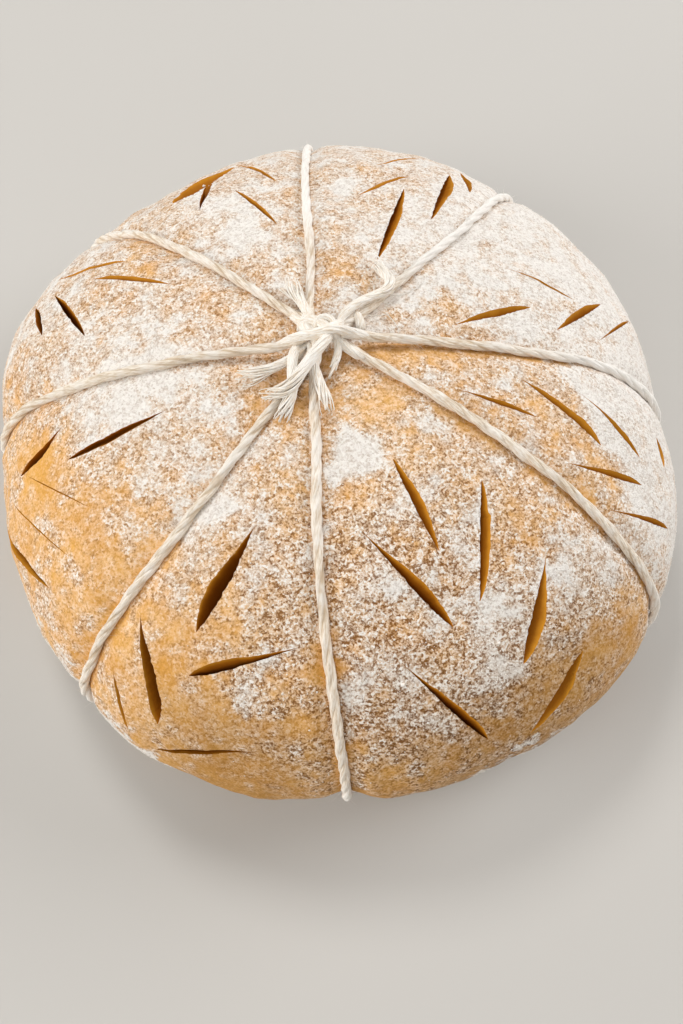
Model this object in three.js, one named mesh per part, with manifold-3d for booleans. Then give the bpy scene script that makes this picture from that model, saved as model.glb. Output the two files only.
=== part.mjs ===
// Pumpkin-shaped sourdough loaf: proofed dough tied into eight lobes with cotton string, then scored.
// Millimetres, +Z up. The origin is on the floor under the middle, and the loaf's front faces -Y.
import * as THREE from 'three';
import { mergeVertices } from 'three/addons/utils/BufferGeometryUtils.js';
import Module from 'manifold-3d';

const wasm = await Module();
wasm.setup();

// Loaf
const RADIUS = 110; // mean half-width at the widest level
const HEIGHT = 73;
const WIDEST = 19.5; // level of the widest line
const CROWN_POWER = 2.5; // 2 gives a half ellipse, more a flatter crown
const FOOT_SHARE = 0.85; // flat base, as a share of the half-width
const MIDDLE = new THREE.Vector2(1, -1); // centre of the plan
const CROWN = new THREE.Vector2(-3, -0.5); // crown and knot, off that centre

// The plan is a little out of round: [waves in a turn, cosine part, sine part]
const PLAN_WAVES = [
  [2, -2.75, -1.2],
  [3, -0.75, -0.2],
  [4, -0.2, -1.6],
  [5, -0.5, 1.1],
  [6, -0.6, -0.3],
];

// String
const STRING_RADIUS = 1.25;
const GAP = 0.4; // between the string and the dough
const STRING_START = 8.3; // from the knot's middle
const HOVER_REACH = 45; // how far from the knot an arm stays off the dough
const ASIDE_REACH = 32; // and beside its line
const ASIDE_LIFT = 0.12; // rise for each unit that it lies beside that line
const SIDE_SLACK = 1; // how far the string stands off where it turns under the loaf
const STRING_STEPS = 70;

// Arms of string from the knot to the rim, anticlockwise: [bearing in degrees, sideways bow, hover,
// how far to the left of that line it leaves the knot]
const ARMS = [
  [-34, 2.5, 0, 1],
  [0.5, 0.5, 2, 0],
  [54, -5.5, 0, -1],
  [94.5, 2.5, 0, 3],
  [142, -2.5, 0, -1.3],
  [183.5, 2.5, 2, 0.5],
  [230, 4, 0, 0],
  [271.5, -4, 0, -2.3],
];

// The dough is drawn in under each arm, in a wide valley with a narrow furrow along its bottom
const VALLEY_DEPTH = 0.8;
const VALLEY_WIDTH = 22;
const FURROW_DEPTH_CROWN = 0.8;
const FURROW_DEPTH_RIM = 1.6;
const FURROW_WIDTH = 7;

// Under the loaf the string lies in grooves that meet in a dimple, where the four lengths cross
const GROOVE_DEPTH = 2 * (STRING_RADIUS + GAP) + SIDE_SLACK;
const GROOVE_WIDTH = 6;
const DIMPLE_DEPTH = 12;
const DIMPLE_RADIUS = 34;
const LAYER = 2 * STRING_RADIUS + GAP + 0.1;
const CROSSING_RADIUS = 24;

// Knot, and the routes of its loose tails: [x, y] from the crown and height of the tail's middle
// above the dough
const KNOT_RADII = [7, 6.5, 4];
const TAIL_RADIUS = 1;
const TAILS = [
  [[-2, 3, 4.5], [-4.9, 9.7, 3.6], [-7.3, 15, 1.5], [-10.1, 19.7, 1.4]],
  [
    [3, 3, 4.5], [6.6, 8.1, 4.2], [10, 11.4, 3.9], [14.4, 14.4, 3.9],
    [17.9, 18.6, 3.8], [17, 22, 2], [13, 28.5, 1.4],
  ],
  [[6.6, 8.1, 4.2], [9.2, 6.6, 3.8], [10.7, 5, 2.2], [10.6, 3.4, 1.6]],
  [[-3, -2, 4.5], [-2.2, -8.2, 3.6], [-1.1, -12.4, 3.5], [0.2, -16.7, 3.5], [2.4, -21.9, 1.5]],
  [[2, -2, 4], [4.1, -6, 2.2], [3.2, -9, 1.5], [2.4, -11.8, 1.4]],
  [
    [1, -2, 4.5], [-1.8, -7.4, 6], [-5.1, -11.9, 5.8],
    [-7.4, -15.2, 5], [-10.5, -16.8, 3.7], [-15.3, -17.9, 1.5],
  ],
  [
    [-4, -2, 4], [-7.4, -6.6, 3.4], [-7.6, -10.1, 3.9],
    [-7.6, -13.8, 3.5], [-8.2, -17.4, 1.7], [-10.9, -24.2, 1.4],
  ],
  [[-4, -1.5, 4], [-8.4, -6, 2.6], [-12, -8.5, 1.6], [-15.6, -10, 1.5], [-22.4, -11.6, 1.4]],
];

// Cuts, lobe by lobe from the front right one, anticlockwise. Each end has a bearing in degrees and
// its share of the way from the crown to the widest level: [bearing, share, bearing, share, gape]
const CUTS = [
  [297.3, 0.22, 296.1, 0.38, 2.5],
  [313.5, 0.32, 298.6, 0.49, 2.7],
  [281.2, 0.31, 292.6, 0.51, 3],
  [313.1, 0.48, 300.3, 0.64, 3.6],
  [282.9, 0.55, 291.7, 0.78, 2.7],
  [309.5, 0.7, 298, 0.84, 3],

  [334.7, 0.21, 338.5, 0.36, 1.2],
  [349.8, 0.32, 339.8, 0.49, 2.2],
  [350.4, 0.44, 342.3, 0.59, 1.6],
  [330.5, 0.42, 337.9, 0.61, 1.8],
  [328.4, 0.54, 335.8, 0.75, 1.8],
  [349.7, 0.67, 345.2, 0.71, 2.2],

  [11.8, 0.21, 16.8, 0.37, 2.2],
  [34.4, 0.36, 19.4, 0.5, 0.9],
  [9.3, 0.42, 18.4, 0.58, 2.5],
  [8, 0.53, 16, 0.7, 1],

  [71.6, 0.4, 67.4, 0.18, 3.2],
  [81.9, 0.34, 71.9, 0.46, 1.4],
  [64.9, 0.54, 61.5, 0.33, 3.2],
  [79.9, 0.48, 72.2, 0.61, 1.4],
  [63.9, 0.62, 59.1, 0.5, 2.8],

  [115, 0.43, 107.5, 0.27, 1.4],
  [109.6, 0.58, 102.9, 0.41, 1.3],
  [129.2, 0.52, 111, 0.59, 5.5],
  [127, 0.42, 117.1, 0.56, 2.6],

  [156.6, 0.48, 154.3, 0.29, 1.8],
  [156.1, 0.62, 150.6, 0.43, 1.6],
  [160.3, 0.58, 171.5, 0.44, 2.6],
  [161.8, 0.66, 170.1, 0.56, 2.6],

  [200.4, 0.29, 199.8, 0.51, 1.9],
  [192, 0.51, 196.3, 0.68, 2.4],
  [197.6, 0.65, 212.4, 0.5, 0.6],
  [199.1, 0.75, 216.7, 0.6, 0.6],
  [199.3, 0.89, 217.4, 0.7, 1.6],

  [250.6, 0.32, 245.9, 0.52, 4.6],
  [268.1, 0.5, 247.1, 0.61, 2.4],
  [234.1, 0.56, 244.3, 0.76, 2.6],
  [234.5, 0.71, 240, 0.85, 0.7],
  [259.9, 0.74, 244.3, 0.88, 1.3],
];
const CUT_STEPS = 6;
const FINE_CUT = 1.5; // gape of a cut that needs fewer steps
const FINE_CUT_STEPS = 4;
const CUT_CLEAR = 1.5; // how far the cutting wedge stands out of the dough
const CUT_LEAN = 0.25; // sideways run of a cut for each unit of depth

// Mesh
const LOBE_COLUMNS = 9;
const COLUMN_CROWDING = 0.7; // 0 spaces the columns evenly, 1 crowds them against the string
const CROWN_ROWS = 18;
const SIDE_ROWS = 8;
const BASE_ROWS = 7;
const BASE_GRADING = 1.7;
const STRING_SIDES = 6;

const radians = THREE.MathUtils.degToRad;
const mix = THREE.MathUtils.lerp;
const COUNT = ARMS.length;

// A smooth rise from 0 at x = 1 to 1 at x = 0, and level beyond
function bump(x) {
  return Math.abs(x) < 1 ? (1 - x * x) ** 2 : 0;
}

// Arm or lobe under a bearing in degrees: the arm just clockwise, and the share of the way to the next
function lobeAt(bearing) {
  const first = ARMS[0][0];
  const turned = THREE.MathUtils.euclideanModulo(bearing - first, 360);
  let index = COUNT - 1;
  while (index > 0 && ARMS[index][0] - first > turned) index -= 1;
  const start = ARMS[index][0] - first;
  const end = index + 1 < COUNT ? ARMS[index + 1][0] - first : 360;
  return { index, share: (turned - start) / (end - start), toArm: Math.min(turned - start, end - turned) };
}

// Profile along a meridian. way is 0 at the crown, 1 at the widest level, 2 at the edge of the flat
// base and 3 at its middle. out is the share of the half-width.
function profile(way) {
  if (way <= 1) {
    const out = Math.sin((way * Math.PI) / 2);
    return { out, level: WIDEST + (HEIGHT - WIDEST) * Math.sqrt(Math.max(0, 1 - out ** CROWN_POWER)) };
  }
  if (way <= 2) {
    const turn = ((way - 1) * Math.PI) / 2;
    return { out: FOOT_SHARE + (1 - FOOT_SHARE) * Math.cos(turn), level: WIDEST * (1 - Math.sin(turn)) };
  }
  return { out: FOOT_SHARE * (3 - way), level: 0 };
}

// Point of the plain form, before the string draws it in: meridians fan out from the crown and bow
// sideways as the arms of string do
function plainPoint(bearing, way) {
  const { out, level } = profile(way);
  const turn = radians(bearing);
  const { index, share } = lobeAt(bearing);
  const bow = mix(ARMS[index][1], ARMS[(index + 1) % COUNT][1], share) * Math.sin(Math.PI * out);
  let reach = RADIUS;
  for (const [waves, cosine, sine] of PLAN_WAVES) {
    reach += cosine * Math.cos(waves * turn) + sine * Math.sin(waves * turn);
  }
  return new THREE.Vector3(
    MIDDLE.x + CROWN.x * (1 - out) + reach * out * Math.cos(turn) - bow * Math.sin(turn),
    MIDDLE.y + CROWN.y * (1 - out) + reach * out * Math.sin(turn) + bow * Math.cos(turn),
    level,
  );
}

// Direction out of the dough, straight up at the crown and straight down under the base
function outward(bearing, way) {
  if (way < 0.01) return new THREE.Vector3(0, 0, 1);
  if (way > 1.99) return new THREE.Vector3(0, 0, -1);
  const here = plainPoint(bearing, way);
  const along = plainPoint(bearing, way + 0.001).sub(here);
  const around = plainPoint(bearing + 0.1, way).sub(here);
  return along.cross(around).normalize();
}

// How far the string draws the dough in
function drawnIn(bearing, way) {
  const { out } = profile(way);
  const away = radians(lobeAt(bearing).toArm) * RADIUS * out;
  const toRim = Math.min(1, out * out);
  const furrow = mix(FURROW_DEPTH_CROWN, FURROW_DEPTH_RIM, toRim) * bump(away / FURROW_WIDTH);
  const valley = VALLEY_DEPTH * toRim * bump(away / VALLEY_WIDTH);
  const groove = GROOVE_DEPTH * bump(away / GROOVE_WIDTH);
  const dimple = way > 2 ? DIMPLE_DEPTH * bump((out * RADIUS) / DIMPLE_RADIUS) : 0;
  return mix(furrow + valley, groove + dimple, THREE.MathUtils.smoothstep(way, 1, 2));
}

// Point on the loaf, or at a height off it
function loafPoint(bearing, way, height = 0) {
  return plainPoint(bearing, way).addScaledVector(outward(bearing, way), height - drawnIn(bearing, way));
}

// Where a meridian is this far from the crown, seen from above
function wayOut(distance) {
  return (2 / Math.PI) * Math.asin(distance / RADIUS);
}

// Closed mesh of a geometry: corners shared, triangles without area dropped, faces turned outwards
function closedMesh(geometry) {
  geometry.deleteAttribute('normal');
  geometry.deleteAttribute('uv');
  const shared = mergeVertices(geometry, 1e-4);
  const corners = shared.attributes.position;
  const triangles = [];
  let volume = 0;
  for (let i = 0; i < shared.index.count; i += 3) {
    const [a, b, c] = [0, 1, 2].map((k) => shared.index.getX(i + k));
    if (a === b || b === c || c === a) continue;
    triangles.push([a, b, c]);
    const [p, q, r] = [a, b, c].map((n) => new THREE.Vector3().fromBufferAttribute(corners, n));
    volume += p.dot(q.cross(r));
  }
  if (volume < 0) triangles.forEach((corner) => corner.reverse());
  return new wasm.Mesh({
    numProp: 3,
    vertProperties: new Float32Array(corners.array),
    triVerts: new Uint32Array(triangles.flat()),
  });
}

function solid(geometry) {
  return new wasm.Manifold(closedMesh(geometry));
}

function geometryOf(body) {
  const mesh = body.getMesh();
  const geometry = new THREE.BufferGeometry();
  geometry.setAttribute('position', new THREE.BufferAttribute(mesh.vertProperties, 3));
  geometry.setIndex(new THREE.BufferAttribute(mesh.triVerts, 1));
  geometry.computeVertexNormals();
  return geometry;
}

// Moves every vertex of a geometry to where a rule says
function shape(geometry, rule) {
  const corners = geometry.attributes.position;
  const corner = new THREE.Vector3();
  for (let i = 0; i < corners.count; i += 1) {
    corner.fromBufferAttribute(corners, i);
    corners.setXYZ(i, ...rule(corner, i).toArray());
  }
  return geometry;
}

// Bearing of a column of the mesh, with columns on the arms and more of them beside the string
function columnBearing(column) {
  const index = Math.floor(column / LOBE_COLUMNS) % COUNT;
  const even = (column % LOBE_COLUMNS) / LOBE_COLUMNS;
  const share = even - (COLUMN_CROWDING * Math.sin(2 * Math.PI * even)) / (2 * Math.PI);
  const next = index + 1 < COUNT ? ARMS[index + 1][0] : ARMS[0][0] + 360;
  return mix(ARMS[index][0], next, share);
}

function rowWay(row) {
  if (row <= CROWN_ROWS) return row / CROWN_ROWS;
  if (row <= CROWN_ROWS + SIDE_ROWS) return 1 + (row - CROWN_ROWS) / SIDE_ROWS;
  return 3 - (1 - (row - CROWN_ROWS - SIDE_ROWS) / BASE_ROWS) ** BASE_GRADING;
}

// Dough before it is scored: a turned profile, drawn in along the arms
function doughGeometry() {
  const rows = CROWN_ROWS + SIDE_ROWS + BASE_ROWS + 1;
  const outline = [];
  for (let row = 0; row < rows; row += 1) {
    const { out, level } = profile(rowWay(row));
    outline.push(new THREE.Vector2(out * RADIUS, level));
  }
  const turned = new THREE.LatheGeometry(outline, COUNT * LOBE_COLUMNS);
  return shape(turned, (corner, i) => loafPoint(columnBearing(Math.floor(i / rows)), rowWay(i % rows)));
}

// Wedge that opens one cut: three-sided, with its edge down in the dough, thinning to both ends
function cutGeometry([bearing, way, endBearing, endWay, gape]) {
  const wedge = new THREE.CylinderGeometry(1, 1, 2, 3, gape > FINE_CUT ? CUT_STEPS : FINE_CUT_STEPS);
  const start = loafPoint(bearing, way);
  const end = loafPoint(endBearing, endWay);
  const depth = 1.5 + 1.5 * gape;
  const run = end.clone().sub(start).normalize();
  return shape(wedge, ({ x, y, z }) => {
    const share = (y + 1) / 2;
    const fullness = Math.sqrt(Math.max(0.004, 1 - y * y));
    const at = [mix(bearing, endBearing, share), mix(way, endWay, share)];
    const up = outward(...at);
    const across = new THREE.Vector3().crossVectors(up, run).normalize();
    const deep = depth * fullness;
    const half = ((gape / 2) * fullness * (deep + CUT_CLEAR)) / deep;
    const isEdge = z > 0.5;
    return loafPoint(...at)
      .addScaledVector(up, isEdge ? -deep : CUT_CLEAR)
      .addScaledVector(across, isEdge ? CUT_LEAN * deep : half * Math.sign(x));
  });
}

// Round bar along a smooth path
function barGeometry(points, radius, steps) {
  const section = new THREE.Shape();
  for (let i = 0; i < STRING_SIDES; i += 1) {
    const turn = (2 * Math.PI * i) / STRING_SIDES;
    section.lineTo(radius * Math.cos(turn), radius * Math.sin(turn));
  }
  const path = new THREE.CatmullRomCurve3(points);
  return new THREE.ExtrudeGeometry(section, { extrudePath: path, steps });
}

// Half of one string, from the knot over the rim to the crossing under the loaf
function halfString(arm, layer) {
  const [bearing, , hover, aside] = ARMS[arm];
  const left = new THREE.Vector3(-Math.sin(radians(bearing)), Math.cos(radians(bearing)), 0);
  const rowWays = Array.from({ length: CROWN_ROWS + SIDE_ROWS + BASE_ROWS + 1 }, (_, row) => rowWay(row));
  const ways = [wayOut(STRING_START), ...rowWays.filter((way) => way > 2 * wayOut(STRING_START))];
  return ways.map((way) => {
    const distance = profile(way).out * RADIUS;
    const clear = STRING_RADIUS + GAP;
    if (way > 2) {
      return plainPoint(bearing, way).setZ(clear + layer * LAYER * bump(distance / CROSSING_RADIUS));
    }
    const slack = SIDE_SLACK * THREE.MathUtils.smoothstep(way, 0.7, 1.3);
    const beside = way < 1 ? aside * bump(distance / ASIDE_REACH) : 0;
    const lift = hover * bump(distance / HOVER_REACH) + slack + ASIDE_LIFT * Math.abs(beside);
    return loafPoint(bearing, way, clear + lift).addScaledVector(left, beside);
  });
}

function stringGeometry(arm, layer) {
  const over = halfString(arm, layer);
  const back = halfString(arm + COUNT / 2, layer).reverse().slice(1);
  return barGeometry([...over, ...back], STRING_RADIUS, STRING_STEPS);
}

// Loose tail along its route
function tailGeometry(route) {
  const points = route.map(([x, y, height]) => {
    const { level } = profile(wayOut(Math.hypot(x, y)));
    return new THREE.Vector3(crown.x + x, crown.y + y, level + height);
  });
  return barGeometry(points, TAIL_RADIUS, 2 * route.length);
}

const group = new THREE.Group();

function add(name, geometry, material) {
  const mesh = new THREE.Mesh(geometry, material);
  mesh.name = name;
  group.add(mesh);
}

// Loaf
const dough = new THREE.MeshStandardMaterial({ color: '#dcc09a', roughness: 0.9, metalness: 0 });
let loaf = solid(doughGeometry());
for (const cut of CUTS) loaf = loaf.subtract(solid(cutGeometry(cut)));
add('loaf', geometryOf(loaf), dough);

// String, four lengths round the loaf
for (let arm = 0; arm < COUNT / 2; arm += 1) {
  const cotton = new THREE.MeshStandardMaterial({ color: '#efe6d6', roughness: 1, metalness: 0 });
  add(`string_${arm + 1}`, geometryOf(solid(stringGeometry(arm, arm))), cotton);
}

// Knot with its tails
const crown = plainPoint(0, 0);
const lump = new THREE.SphereGeometry(1, 12, 8).scale(...KNOT_RADII);
lump.translate(crown.x, crown.y, crown.z + KNOT_RADII[2] + 0.5);
let knot = solid(lump);
for (const tail of TAILS) knot = knot.add(solid(tailGeometry(tail)));
const tied = new THREE.MeshStandardMaterial({ color: '#e6dac6', roughness: 1, metalness: 0 });
add('knot', geometryOf(knot), tied);

export default group;
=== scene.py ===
"""Pumpkin-shaped sourdough loaf: floured, scored dough tied into eight lobes with cotton string.

Forms are worked out in millimetres, in the part's frame, and scaled to metres when a mesh is made.
"""
import math
from collections import namedtuple

import bmesh
import bpy
import numpy as np
from mathutils import Matrix, Vector
from numpy.linalg import norm


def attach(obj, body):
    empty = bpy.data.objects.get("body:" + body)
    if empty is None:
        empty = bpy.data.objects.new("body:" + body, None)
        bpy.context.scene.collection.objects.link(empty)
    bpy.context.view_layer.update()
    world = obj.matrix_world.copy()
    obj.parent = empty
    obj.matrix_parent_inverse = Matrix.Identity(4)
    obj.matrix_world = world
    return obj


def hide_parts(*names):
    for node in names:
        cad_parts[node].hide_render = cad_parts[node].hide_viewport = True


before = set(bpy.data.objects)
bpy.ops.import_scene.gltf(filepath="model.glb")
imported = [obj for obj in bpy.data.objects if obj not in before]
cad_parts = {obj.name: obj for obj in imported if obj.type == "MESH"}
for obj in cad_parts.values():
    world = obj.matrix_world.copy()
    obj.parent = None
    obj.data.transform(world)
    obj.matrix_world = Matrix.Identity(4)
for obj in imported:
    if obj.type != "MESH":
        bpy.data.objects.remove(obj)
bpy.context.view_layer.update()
scene = bpy.context.scene

MM = 0.001

# Loaf
RADIUS = 110.0
HEIGHT = 73.0
WIDEST = 19.5
CROWN_POWER = 2.5
FOOT_SHARE = 0.85
MIDDLE = np.array([1.0, -1.0])
CROWN = np.array([-3.0, -0.5])
PLAN_WAVES = [(2, -2.75, -1.2), (3, -0.75, -0.2), (4, -0.2, -1.6), (5, -0.5, 1.1), (6, -0.6, -0.3)]

# String
STRING_RADIUS = 1.25
STRING_CLEAR = 1.2  # middle of the string above the bottom of its furrow
STRING_START = 5.0
HOVER_REACH = 45.0
ASIDE_REACH = 32.0
RISE = 2.0  # of every arm into the knot
RISE_REACH = 16.0
SIDE_SLACK = 1.0

# Arms of string from the knot, anticlockwise: bearing in degrees, sideways bow, hover,
# and how far to the left of that line it leaves the knot
ARMS = np.array([
    (-34, 2.5, 0, 1),
    (0.5, 0.5, 2, 0),
    (54, -5.5, 0, -1),
    (94.5, 2.5, 0, 3),
    (142, -2.5, 0, -1.3),
    (183.5, 2.5, 2, 0.5),
    (230, 4, 0, 0),
    (271.5, -4, 0, -2.3),
])
COUNT = len(ARMS)
BEARINGS = ARMS[:, 0]
BOWS = ARMS[:, 1]

# How the dough is drawn in
VALLEY_DEPTH = 0.8
VALLEY_WIDTH = 22.0
FURROW_DEPTH_CROWN = 0.8
FURROW_DEPTH_RIM = 1.6
FURROW_WIDTH = 7.0
BED_DEPTH = 0.4  # narrow bed that the string has pressed for itself
BED_WIDTH = 2.6
GROOVE_DEPTH = 4.2
GROOVE_WIDTH = 6.0
DIMPLE_DEPTH = 12.0
DIMPLE_RADIUS = 34.0
LAYER = 2.95
CROSSING_RADIUS = 24.0

# Cuts, lobe by lobe. Ends are a bearing in degrees and a share of the way from crown to widest level.
# The thin flap is on the left of the run from first end to last where flap is 1. Fullest is a share of
# the run, and flap_share is the share of the gape on the flap's side of the line.
Cut = namedtuple(
    "Cut", "bearing way last_bearing last_way gape depth flap fullest flap_share", defaults=(-1, 0.5, 0.2),
)
CUTS = [Cut(*row) for row in (
    (297.3, 0.22, 296.1, 0.381, 2.5, 4.5, -1, 0.45, 0.3),
    (313.5, 0.321, 298.6, 0.487, 2.8, 6, -1, 0.45, 0.1),
    (281.2, 0.31, 292.6, 0.51, 2.9, 6.2, -1, 0.68, 0.3),
    (313.1, 0.484, 300.3, 0.637, 4.2, 6, -1, 0.66),
    (282.9, 0.549, 291.7, 0.783, 2.5, 4.5, -1, 0.64, 0.3),
    (309.5, 0.697, 298, 0.839, 4, 8, -1, 0.45, 0.3),

    (334.7, 0.215, 338.5, 0.356, 1.4, 3, -1, 0.6),
    (349.8, 0.322, 339.8, 0.491, 2.2, 4, -1, 0.6),
    (350.4, 0.436, 342.3, 0.593, 1.6, 3, -1, 0.7),
    (330.5, 0.423, 337.9, 0.614, 1.7, 3, -1, 0.6),
    (328.4, 0.537, 335.8, 0.755, 1.6, 3, -1, 0.65),
    (349.7, 0.672, 345.2, 0.708, 3, 4),

    (11.8, 0.214, 16.8, 0.373, 2.3, 4, -1, 0.6),
    (34.4, 0.362, 19.4, 0.497, 0.9, 1.6, -1, 0.65),
    (9.3, 0.422, 18.4, 0.584, 2.5, 4.5),
    (8, 0.532, 16, 0.7, 1, 2, -1, 0.6),

    (71.6, 0.398, 67.4, 0.183, 3, 3.5),
    (81.9, 0.337, 71.9, 0.462, 1.5, 3, -1, 0.55),
    (64.9, 0.542, 61.5, 0.335, 3.2, 3.6, -1, 0.45),
    (79.9, 0.475, 72.2, 0.61, 1.5, 3),
    (63.9, 0.621, 59.1, 0.504, 3, 5),

    (115, 0.431, 107.5, 0.268, 1.6, 4.5),
    (109.6, 0.582, 102.9, 0.411, 1.6, 4),
    (129.2, 0.519, 111, 0.586, 9.8, 8, -1, 0.42),

    (156.6, 0.483, 154.3, 0.293, 1.8, 4.5),
    (156.1, 0.619, 150.6, 0.428, 1.6, 4),
    (160.3, 0.585, 171.5, 0.438, 2.4, 6.5),
    (161.8, 0.665, 170.1, 0.562, 2.4, 6),

    (200.4, 0.286, 199.8, 0.511, 2.2, 4.2, -1, 0.6),
    (192, 0.507, 196.3, 0.682, 2.6, 5, -1, 0.6),
    (197.6, 0.647, 212.4, 0.495, 0.4, 1, 1),
    (199.1, 0.754, 216.7, 0.597, 0.5, 1.2, 1),
    (199.3, 0.888, 217.4, 0.702, 3, 8, 1),

    (250.6, 0.323, 245.9, 0.52, 3.8, 11, 1, 0.56, 0.35),
    (268.1, 0.497, 247.1, 0.607, 2.5, 4.8, 1, 0.72, 0.3),
    (234.1, 0.556, 244.3, 0.762, 3.7, 12, 1, 0.62, 0.75),
    (234.5, 0.709, 240, 0.846, 1.5, 4.5, 1, 0.6, 0.3),
    (259.9, 0.74, 244.3, 0.882, 1.6, 9, 1, 0.6, 0.3),

    (127, 0.42, 117.1, 0.559, 2.6, 8, 1, 0.6, 0.5),
)]
LATER_CUTS = 1  # at the end of the list, each across an earlier one
CUT_CLEAR = 2.0
CUT_LEAN = 0.3  # sideways run of the flap's underside for each unit of depth
WALL_SHADE_DEPTH = 10.0  # depth that the painted shade on a cut's wall runs over
WIDE_CUT = 2.5  # gape from which the lips of a cut are fully floured, and wider ones tear more

# Flour on the dough by bearing, then in percent: white inside, way where that starts to change, way
# where it has changed, white at the rim
FLOUR_FALL = np.array([
    (10, 90, 40, 60, 97), (40, 96, 90, 140, 85), (62, 92, 90, 140, 80), (80, 74, 60, 80, 85),
    (110, 68, 90, 130, 70), (150, 50, 40, 60, 76), (180, 70, 45, 60, 36), (200, 61, 42, 55, 19),
    (220, 52, 30, 44, 19), (240, 50, 32, 50, 14), (258, 34, 38, 66, 10), (280, 31, 62, 82, 12),
    (305, 39, 54, 74, 11), (320, 48, 60, 76, 12), (332, 40, 52, 62, 92), (350, 46, 33, 48, 98),
])

# Heaps of flour and bare spots: bearing, way in percent, radius, white added in percent
FLOUR_PATCHES = [
    (284, 19, 7.5, 95), (301, 53, 10, 46), (296, 61, 7, 16), (307, 36, 6, 30), (191, 41, 13, 38),
    (192, 28, 9, 20), (197, 61, 7, -24), (193, 50, 9, -16), (231, 62, 8, -10), (276, 44, 7, -12),
    (123, 29, 7, 55), (118, 38, 8, 25), (233, 39, 5, 55), (235, 32, 5, 50), (255, 35, 4, 35),
    (254, 100, 12, -20), (241, 44, 8, 20), (58, 35, 9, 10), (17, 50, 9, -16), (276, 47, 8, 12),
    (255, 25, 7, 6), (267, 40, 8, 12), (341, 45, 6, 14), (2, 42, 8, 16), (322, 61, 6, 25),
    (264, 48, 4, 20), (258, 59, 5, 40), (165, 60, 9, 25), (319, 56, 9, 20), (277, 62, 13, 18),
    (278, 36, 10, 15), (282, 53, 7, 12), (263, 60, 8, 12), (290, 27, 6, 12), (226, 110, 14, 70),
    (311, 39, 8, -18), (72, 16, 7, -14), (312, 12, 10, -32), (332, 20, 7, -12), (252, 44, 7, -14),
    (350, 15, 9, -20), (12, 22, 11, -26), (27, 12, 9, -20), (28, 20, 12, -16), (22, 29, 9, -10),
    (96, 39, 11, -17), (88, 24, 9, -14), (160, 14, 8, -12), (182, 9, 6, -20), (80, 15, 8, -20),
    (75, 45, 10, -20), (147, 42, 9, -15), (272, 53, 7, -25), (340, 42, 9, -25), (331, 50, 8, -30),
    (215, 12, 6, -25), (247, 12, 6, -25),
]
RUBBED_AND_SHADED = 0.12  # flour rubbed off beside the string, which also paints some of its shade there
RUBBED_AND_SHADED_WIDTH = 4.0

# Bare strips on the right of an arm, looking out from the knot, which also carry painted shadow of the
# string: arm, ways between, width, flour lost
BARE_AND_SHADOW_STRIPS = [(0, 0.22, 0.66, 3.2, 0.36), (1, 0.1, 0.42, 4.4, 0.66)]

LIP_FLOUR = 0.30  # flour pushed up along the flap of a cut
LIP_WIDTH = 1.1
LIP_REACH = 24.0  # round the middle of a cut, longer than half of any

# Flour gathered low on the side: bearing and the way where it starts there
FLOUR_SKIRT = np.array([
    (203, 1.3), (208, 0.94), (220, 0.865), (231, 0.855), (240, 0.91), (247, 0.96), (252, 1.3),
    (286, 1.3), (290, 0.95), (297, 0.93), (303, 0.97), (307, 1.3),
])

# Coarse flour on the front, with deeper painted shade between its grains where light grazes: bearing,
# half-width in degrees
COARSE_SHADED_FRONT = (284, 48)

# Painted shade low on the front, where the light falls off: bearing, half width, way down where it starts,
# and how dark
PAINTED_SHADE_LOW = [(298, 38, 0.5, 1), (256, 22, 0.56, 0.9), (276, 55, 0.7, 0.6)]

# Loose grains: number, radius of the middle one and how much they vary
GRAINS = 16000
GRAIN_RADIUS = 0.14
GRAIN_SPREAD = 0.35
LIP_GRAINS = 6  # on each wide cut, larger
LIP_GRAIN_SIZE = 1.6

# Mesh
STEP = 1.06  # between neighbouring points of the dough
BASE_STEP = 2.6
SEAM_WAY = 1.9  # below it the base has its own place on the texture
STRING_STEP = 0.9

# Texture of the dough: a disc for its top and sides, in one corner a small disc for its base, and in
# the others strips for the walls of the cuts
DISC_RADIUS = 0.492
BASE_DISC_MIDDLE = 0.0745
BASE_DISC_RADIUS = 0.068
STRIP_CORNERS = [(0.857, 0.003), (0.003, 0.857), (0.857, 0.857)]
STRIPS_IN_CORNER = 13
STRIP_LENGTH = 0.14
STRIP_WIDTH = 0.0108


def bump(x):
    return np.where(np.abs(x) < 1, (1 - x * x) ** 2, 0)


def smoothstep(x, low, high):
    share = np.clip((x - low) / (high - low), 0, 1)
    return share * share * (3 - 2 * share)


def mix(a, b, share):
    return a + (b - a) * share


def ripple(points, length, seed, waves=22):
    """Smooth random unevenness of about unit size and that wavelength, at points in space."""
    draw = np.random.default_rng(seed)
    turns = draw.normal(size=(waves, 3))
    turns /= norm(turns, axis=1)[:, None]
    turns *= 2 * np.pi / (length * draw.uniform(0.7, 1.4, (waves, 1)))
    phases = draw.uniform(0, 2 * np.pi, waves)
    total = np.zeros(points.shape[:-1])
    for turn, phase in zip(turns, phases):
        total += np.sin(points @ turn + phase)
    return total * math.sqrt(2 / waves)


def waver(run, draw, shortest, longest, waves=4):
    """Slow random change of about unit size along a run."""
    lengths = draw.uniform(shortest, longest, waves)
    return np.sin(run[:, None] / lengths + draw.uniform(0, 6.3, waves)).sum(1) / math.sqrt(waves / 2)


def lobe_at(bearing):
    """Arm just clockwise of a bearing, share of the way to the next, and degrees to the nearest."""
    starts = BEARINGS - BEARINGS[0]
    ends = np.append(starts[1:], 360)
    turned = np.mod(bearing - BEARINGS[0], 360)
    index = np.searchsorted(starts, turned, side="right") - 1
    start, end = starts[index], ends[index]
    return index, (turned - start) / (end - start), np.minimum(turned - start, end - turned)


def turned_from(middle, bearing):
    """Degrees from one bearing to another, the short way round."""
    return (bearing - middle + 180) % 360 - 180


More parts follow.
